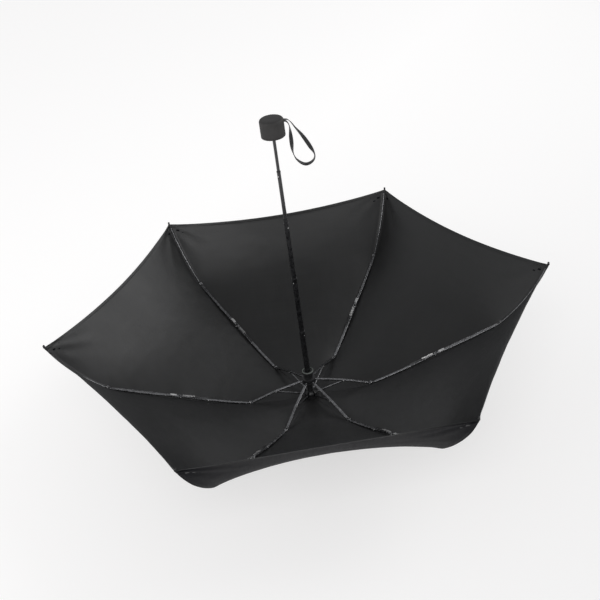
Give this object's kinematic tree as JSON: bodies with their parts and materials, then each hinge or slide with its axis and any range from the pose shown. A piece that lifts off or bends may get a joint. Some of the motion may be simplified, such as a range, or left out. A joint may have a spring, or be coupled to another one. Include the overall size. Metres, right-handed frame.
{
  "type": "folding umbrella",
  "caption": "Open folding umbrella with a dark ribbed canopy, a telescoping shaft, a short round handle and a wrist strap.",
  "frame": {"origin": "centre of the ferrule's flat tip, on the shaft's axis", "axes": "+Z along the shaft towards the handle, +X along the first rib"},
  "size_m": [0.8814, 0.7638, 0.5541],
  "materials": {
    "fabric": "matte plain weave",
    "lacquered_steel": "black lacquer, satin",
    "plated_steel": "plated, satin",
    "black_plastic": "moulded, matte",
    "rubber": "soft-touch, matte",
    "webbing": "woven ribbon"
  },
  "bodies": {
    "root": {"ferrule_cap": "black_plastic", "crown": "black_plastic", "crown_wire": "plated_steel", "shaft_tube_1": "lacquered_steel", "spring_stud_1": "plated_steel", "gore_1": "fabric", "gore_2": "fabric", "gore_3": "fabric", "gore_4": "fabric", "gore_5": "fabric", "gore_6": "fabric"},
    "top_rib_1": {"top_rib_1": "lacquered_steel"},
    "stretcher_1": {"stretcher_1": "lacquered_steel"},
    "second_rib_1": {"second_rib_1": "lacquered_steel"},
    "third_rib_1": {"third_rib_1": "lacquered_steel"},
    "end_rib_1": {"end_rib_1": "lacquered_steel", "rib_tip_1": "black_plastic"},
    "top_rib_2": {"top_rib_2": "lacquered_steel"},
    "stretcher_2": {"stretcher_2": "lacquered_steel"},
    "second_rib_2": {"second_rib_2": "lacquered_steel"},
    "third_rib_2": {"third_rib_2": "lacquered_steel"},
    "end_rib_2": {"end_rib_2": "lacquered_steel", "rib_tip_2": "black_plastic"},
    "top_rib_3": {"top_rib_3": "lacquered_steel"},
    "stretcher_3": {"stretcher_3": "lacquered_steel"},
    "second_rib_3": {"second_rib_3": "lacquered_steel"},
    "third_rib_3": {"third_rib_3": "lacquered_steel"},
    "end_rib_3": {"end_rib_3": "lacquered_steel", "rib_tip_3": "black_plastic"},
    "top_rib_4": {"top_rib_4": "lacquered_steel"},
    "stretcher_4": {"stretcher_4": "lacquered_steel"},
    "second_rib_4": {"second_rib_4": "lacquered_steel"},
    "third_rib_4": {"third_rib_4": "lacquered_steel"},
    "end_rib_4": {"end_rib_4": "lacquered_steel", "rib_tip_4": "black_plastic"},
    "top_rib_5": {"top_rib_5": "lacquered_steel"},
    "stretcher_5": {"stretcher_5": "lacquered_steel"},
    "second_rib_5": {"second_rib_5": "lacquered_steel"},
    "third_rib_5": {"third_rib_5": "lacquered_steel"},
    "end_rib_5": {"end_rib_5": "lacquered_steel", "rib_tip_5": "black_plastic"},
    "top_rib_6": {"top_rib_6": "lacquered_steel"},
    "stretcher_6": {"stretcher_6": "lacquered_steel"},
    "second_rib_6": {"second_rib_6": "lacquered_steel"},
    "third_rib_6": {"third_rib_6": "lacquered_steel"},
    "end_rib_6": {"end_rib_6": "lacquered_steel", "rib_tip_6": "black_plastic"},
    "runner": {"runner": "black_plastic", "runner_wire": "plated_steel"},
    "release_button": {"release_button": "black_plastic"},
    "shaft_tube_2": {"shaft_tube_2": "lacquered_steel", "spring_stud_2": "plated_steel"},
    "shaft_tube_3": {"shaft_tube_3": "lacquered_steel", "spring_stud_3": "plated_steel"},
    "shaft_tube_4": {"shaft_tube_4": "lacquered_steel", "spring_stud_4": "plated_steel"},
    "handle": {"shaft_tube_5": "lacquered_steel", "handle_core": "black_plastic", "handle_grip": "rubber", "strap": "webbing"}
  },
  "joints": [
    {"name": "canopy_fold", "type": "hinge", "parent": "root", "child": "top_rib_1", "pos_m": [0.009, 0, 0.02], "axis": [0, -1, 0], "range_deg": [0, 69.5], "deforming": ["gore_1", "gore_2", "gore_3", "gore_4", "gore_5", "gore_6"]},
    {"name": "stretcher_1_fold", "type": "hinge", "parent": "top_rib_1", "child": "stretcher_1", "pos_m": [0.06104, 0, 0.03443], "axis": [0, -1, 0], "range_deg": [-139.05, 0]},
    {"name": "second_rib_1_fold", "type": "hinge", "parent": "stretcher_1", "child": "second_rib_1", "pos_m": [0.11086, 0, 0.02062], "axis": [0, -1, 0], "range_deg": [0, 140.35]},
    {"name": "third_rib_1_fold", "type": "hinge", "parent": "second_rib_1", "child": "third_rib_1", "pos_m": [0.23074, 0, 0.05773], "axis": [0, -1, 0], "range_deg": [-176.05, 0]},
    {"name": "end_rib_1_fold", "type": "hinge", "parent": "third_rib_1", "child": "end_rib_1", "pos_m": [0.35195, 0, 0.10474], "axis": [0, -1, 0], "range_deg": [0, 146.45]},
    {"name": "top_rib_2_fold", "type": "hinge", "parent": "root", "child": "top_rib_2", "pos_m": [0.0045, 0.00779, 0.02], "axis": [0.866, -0.5, 0], "range_deg": [0, 69.55]},
    {"name": "stretcher_2_fold", "type": "hinge", "parent": "top_rib_2", "child": "stretcher_2", "pos_m": [0.03052, 0.05286, 0.03443], "axis": [0.866, -0.5, 0], "range_deg": [-139.05, 0]},
    {"name": "second_rib_2_fold", "type": "hinge", "parent": "stretcher_2", "child": "second_rib_2", "pos_m": [0.05543, 0.096, 0.02062], "axis": [0.866, -0.5, 0], "range_deg": [0, 140.35]},
    {"name": "third_rib_2_fold", "type": "hinge", "parent": "second_rib_2", "child": "third_rib_2", "pos_m": [0.11537, 0.19983, 0.05773], "axis": [0.866, -0.5, 0], "range_deg": [-176.05, 0]},
    {"name": "end_rib_2_fold", "type": "hinge", "parent": "third_rib_2", "child": "end_rib_2", "pos_m": [0.17597, 0.30479, 0.10474], "axis": [0.866, -0.5, 0], "range_deg": [0, 146.45]},
    {"name": "top_rib_3_fold", "type": "hinge", "parent": "root", "child": "top_rib_3", "pos_m": [-0.0045, 0.00779, 0.02], "axis": [0.866, 0.5, 0], "range_deg": [0, 69.55]},
    {"name": "stretcher_3_fold", "type": "hinge", "parent": "top_rib_3", "child": "stretcher_3", "pos_m": [-0.03052, 0.05286, 0.03443], "axis": [0.866, 0.5, 0], "range_deg": [-139.05, 0]},
    {"name": "second_rib_3_fold", "type": "hinge", "parent": "stretcher_3", "child": "second_rib_3", "pos_m": [-0.05543, 0.096, 0.02062], "axis": [0.866, 0.5, 0], "range_deg": [0, 140.35]},
    {"name": "third_rib_3_fold", "type": "hinge", "parent": "second_rib_3", "child": "third_rib_3", "pos_m": [-0.11537, 0.19983, 0.05773], "axis": [0.866, 0.5, 0], "range_deg": [-176.05, 0]},
    {"name": "end_rib_3_fold", "type": "hinge", "parent": "third_rib_3", "child": "end_rib_3", "pos_m": [-0.17597, 0.30479, 0.10474], "axis": [0.866, 0.5, 0], "range_deg": [0, 146.45]},
    {"name": "top_rib_4_fold", "type": "hinge", "parent": "root", "child": "top_rib_4", "pos_m": [-0.009, 0, 0.02], "axis": [0, 1, 0], "range_deg": [0, 69.55]},
    {"name": "stretcher_4_fold", "type": "hinge", "parent": "top_rib_4", "child": "stretcher_4", "pos_m": [-0.06104, 0, 0.03443], "axis": [0, 1, 0], "range_deg": [-139.05, 0]},
    {"name": "second_rib_4_fold", "type": "hinge", "parent": "stretcher_4", "child": "second_rib_4", "pos_m": [-0.11086, 0, 0.02062], "axis": [0, 1, 0], "range_deg": [0, 140.35]},
    {"name": "third_rib_4_fold", "type": "hinge", "parent": "second_rib_4", "child": "third_rib_4", "pos_m": [-0.23074, 0, 0.05773], "axis": [0, 1, 0], "range_deg": [-176.05, 0]},
    {"name": "end_rib_4_fold", "type": "hinge", "parent": "third_rib_4", "child": "end_rib_4", "pos_m": [-0.35195, 0, 0.10474], "axis": [0, 1, 0], "range_deg": [0, 146.45]},
    {"name": "top_rib_5_fold", "type": "hinge", "parent": "root", "child": "top_rib_5", "pos_m": [-0.0045, -0.00779, 0.02], "axis": [-0.866, 0.5, 0], "range_deg": [0, 69.55]},
    {"name": "stretcher_5_fold", "type": "hinge", "parent": "top_rib_5", "child": "stretcher_5", "pos_m": [-0.03052, -0.05286, 0.03443], "axis": [-0.866, 0.5, 0], "range_deg": [-139.05, 0]},
    {"name": "second_rib_5_fold", "type": "hinge", "parent": "stretcher_5", "child": "second_rib_5", "pos_m": [-0.05543, -0.096, 0.02062], "axis": [-0.866, 0.5, 0], "range_deg": [0, 140.35]},
    {"name": "third_rib_5_fold", "type": "hinge", "parent": "second_rib_5", "child": "third_rib_5", "pos_m": [-0.11537, -0.19983, 0.05773], "axis": [-0.866, 0.5, 0], "range_deg": [-176.05, 0]},
    {"name": "end_rib_5_fold", "type": "hinge", "parent": "third_rib_5", "child": "end_rib_5", "pos_m": [-0.17597, -0.30479, 0.10474], "axis": [-0.866, 0.5, 0], "range_deg": [0, 146.45]},
    {"name": "top_rib_6_fold", "type": "hinge", "parent": "root", "child": "top_rib_6", "pos_m": [0.0045, -0.00779, 0.02], "axis": [-0.866, -0.5, 0], "range_deg": [0, 69.55]},
    {"name": "stretcher_6_fold", "type": "hinge", "parent": "top_rib_6", "child": "stretcher_6", "pos_m": [0.03052, -0.05286, 0.03443], "axis": [-0.866, -0.5, 0], "range_deg": [-139.05, 0]},
    {"name": "second_rib_6_fold", "type": "hinge", "parent": "stretcher_6", "child": "second_rib_6", "pos_m": [0.05543, -0.096, 0.02062], "axis": [-0.866, -0.5, 0], "range_deg": [0, 140.35]},
    {"name": "third_rib_6_fold", "type": "hinge", "parent": "second_rib_6", "child": "third_rib_6", "pos_m": [0.11537, -0.19983, 0.05773], "axis": [-0.866, -0.5, 0], "range_deg": [-176.05, 0]},
    {"name": "end_rib_6_fold", "type": "hinge", "parent": "third_rib_6", "child": "end_rib_6", "pos_m": [0.17597, -0.30479, 0.10474], "axis": [-0.866, -0.5, 0], "range_deg": [0, 146.45]},
    {"name": "runner_travel", "type": "hinge", "parent": "stretcher_1", "child": "runner", "pos_m": [0.009, 0, 0.04886], "axis": [0, -1, 0], "range_deg": [0, 69.55]},
    {"name": "release_button_press", "type": "slide", "parent": "runner", "child": "release_button", "axis": [0, -1, 0], "range_m": [0, 0.0012], "stiffness_N_per_m": 400, "springref_m": -0.001},
    {"name": "shaft_section_2_slide", "type": "slide", "parent": "root", "child": "shaft_tube_2", "axis": [0, 0, -1], "range_m": [0, 0.102]},
    {"name": "shaft_section_3_slide", "type": "slide", "parent": "shaft_tube_2", "child": "shaft_tube_3", "axis": [0, 0, -1], "range_m": [0, 0.101]},
    {"name": "shaft_section_4_slide", "type": "slide", "parent": "shaft_tube_3", "child": "shaft_tube_4", "axis": [0, 0, -1], "range_m": [0, 0.09]},
    {"name": "shaft_section_5_slide", "type": "slide", "parent": "shaft_tube_4", "child": "handle", "axis": [0, 0, -1], "range_m": [0, 0.0628]}
  ],
  "couplings": [
    {"joint": "stretcher_1_fold", "follows": "canopy_fold", "ratio": -2},
    {"joint": "second_rib_1_fold", "follows": "canopy_fold", "ratio": 2.0187},
    {"joint": "third_rib_1_fold", "follows": "canopy_fold", "ratio": -2.5324},
    {"joint": "end_rib_1_fold", "follows": "canopy_fold", "ratio": 2.1065},
    {"joint": "top_rib_2_fold", "follows": "canopy_fold", "ratio": 1},
    {"joint": "stretcher_2_fold", "follows": "canopy_fold", "ratio": -2},
    {"joint": "second_rib_2_fold", "follows": "canopy_fold", "ratio": 2.0187},
    {"joint": "third_rib_2_fold", "follows": "canopy_fold", "ratio": -2.5324},
    {"joint": "end_rib_2_fold", "follows": "canopy_fold", "ratio": 2.1065},
    {"joint": "top_rib_3_fold", "follows": "canopy_fold", "ratio": 1},
    {"joint": "stretcher_3_fold", "follows": "canopy_fold", "ratio": -2},
    {"joint": "second_rib_3_fold", "follows": "canopy_fold", "ratio": 2.0187},
    {"joint": "third_rib_3_fold", "follows": "canopy_fold", "ratio": -2.5324},
    {"joint": "end_rib_3_fold", "follows": "canopy_fold", "ratio": 2.1065},
    {"joint": "top_rib_4_fold", "follows": "canopy_fold", "ratio": 1},
    {"joint": "stretcher_4_fold", "follows": "canopy_fold", "ratio": -2},
    {"joint": "second_rib_4_fold", "follows": "canopy_fold", "ratio": 2.0187},
    {"joint": "third_rib_4_fold", "follows": "canopy_fold", "ratio": -2.5324},
    {"joint": "end_rib_4_fold", "follows": "canopy_fold", "ratio": 2.1065},
    {"joint": "top_rib_5_fold", "follows": "canopy_fold", "ratio": 1},
    {"joint": "stretcher_5_fold", "follows": "canopy_fold", "ratio": -2},
    {"joint": "second_rib_5_fold", "follows": "canopy_fold", "ratio": 2.0187},
    {"joint": "third_rib_5_fold", "follows": "canopy_fold", "ratio": -2.5324},
    {"joint": "end_rib_5_fold", "follows": "canopy_fold", "ratio": 2.1065},
    {"joint": "top_rib_6_fold", "follows": "canopy_fold", "ratio": 1},
    {"joint": "stretcher_6_fold", "follows": "canopy_fold", "ratio": -2},
    {"joint": "second_rib_6_fold", "follows": "canopy_fold", "ratio": 2.0187},
    {"joint": "third_rib_6_fold", "follows": "canopy_fold", "ratio": -2.5324},
    {"joint": "end_rib_6_fold", "follows": "canopy_fold", "ratio": 2.1065},
    {"joint": "runner_travel", "follows": "canopy_fold", "ratio": 1}
  ]
}
